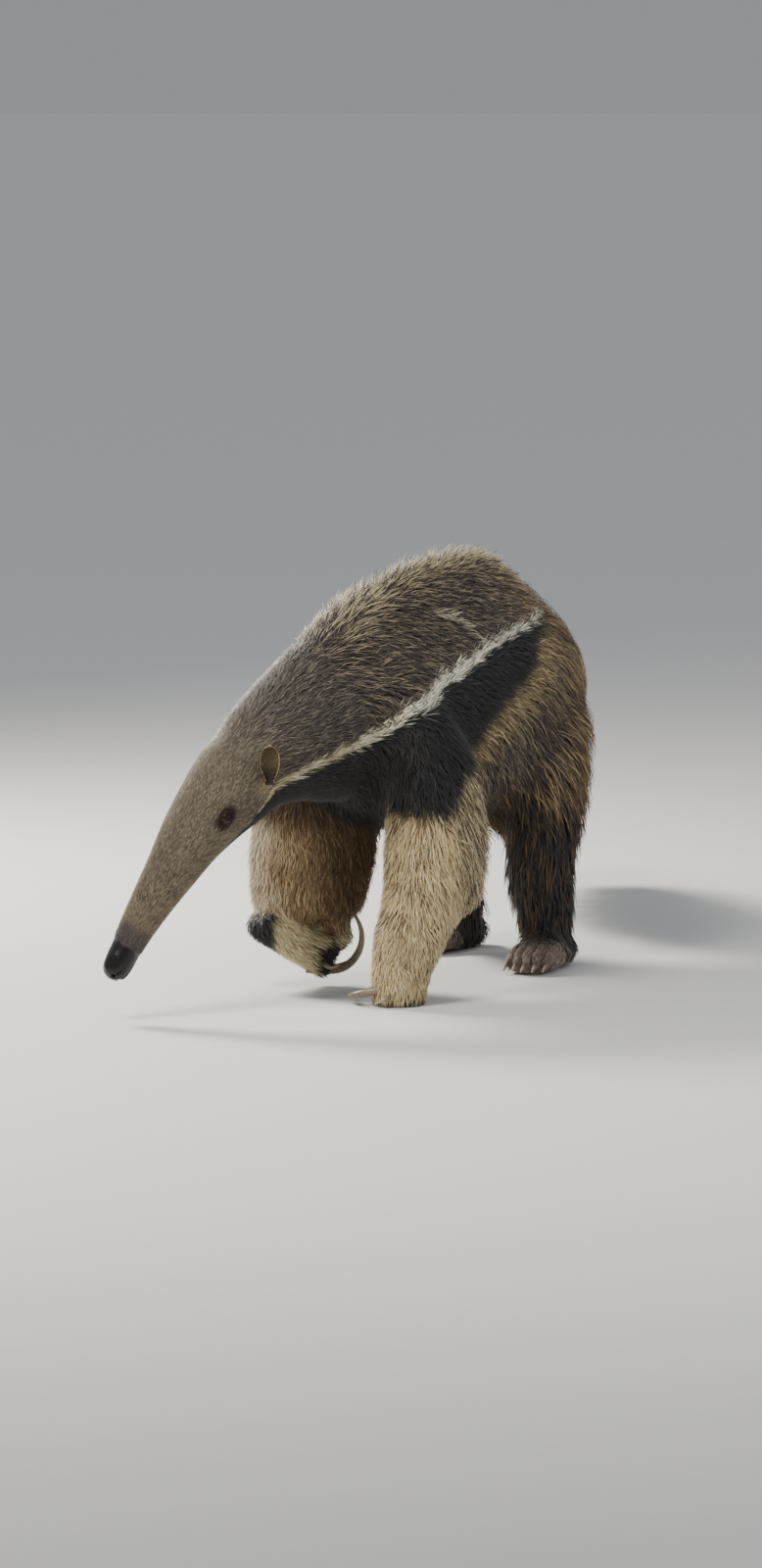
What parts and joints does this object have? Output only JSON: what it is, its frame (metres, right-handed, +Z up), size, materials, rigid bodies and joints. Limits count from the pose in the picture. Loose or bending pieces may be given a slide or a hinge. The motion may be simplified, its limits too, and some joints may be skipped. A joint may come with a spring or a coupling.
{
  "type": "giant anteater",
  "caption": "Life-size giant anteater walking with its head low, one forefoot folded back, bushy tail hanging behind.",
  "frame": {"origin": "on the floor, under the middle of the whole outline", "axes": "+Z up, the animal faces -Y, and +X is its left"},
  "size_m": [0.5878, 1.7938, 0.6196],
  "materials": {
    "coat_grizzled": "short stiff grizzled grey-brown fur with a dark throat and a white-edged shoulder stripe",
    "coat_pale": "coarse straw-coloured fur, dark at the wrists",
    "coat_brown": "long coarse dark brown fur",
    "coat_tail": "very long coarse brown hair",
    "ear_skin": "thin skin with very short fur",
    "nose_skin": "moist bare black skin",
    "eye": "wet gloss",
    "claw": "horn, satin"
  },
  "bodies": {
    "root": {"ear_left": "ear_skin", "ear_right": "ear_skin", "eye_left": "eye", "eye_right": "eye", "foreleg_left_claw_1": "claw", "foreleg_left_claw_2": "claw", "foreleg_left_claw_3": "claw", "foreleg_left_claw_4": "claw", "foreleg_left_forearm": "coat_pale", "foreleg_left_hand": "coat_pale", "foreleg_left_upper": "coat_pale", "foreleg_right_claw_1": "claw", "foreleg_right_claw_2": "claw", "foreleg_right_claw_3": "claw", "foreleg_right_claw_4": "claw", "foreleg_right_forearm": "coat_pale", "foreleg_right_hand": "coat_pale", "foreleg_right_upper": "coat_pale", "head": "coat_grizzled", "hindleg_left_claw_1": "claw", "hindleg_left_claw_2": "claw", "hindleg_left_claw_3": "claw", "hindleg_left_claw_4": "claw", "hindleg_left_claw_5": "claw", "hindleg_left_foot": "coat_brown", "hindleg_left_shank": "coat_brown", "hindleg_left_thigh": "coat_brown", "hindleg_right_claw_1": "claw", "hindleg_right_claw_2": "claw", "hindleg_right_claw_3": "claw", "hindleg_right_claw_4": "claw", "hindleg_right_claw_5": "claw", "hindleg_right_foot": "coat_brown", "hindleg_right_shank": "coat_brown", "hindleg_right_thigh": "coat_brown", "neck": "coat_grizzled", "nose": "nose_skin", "tail_base": "coat_tail", "tail_plume": "coat_tail", "tail_tip": "coat_tail", "trunk": "coat_grizzled"}
  },
  "joints": []
}
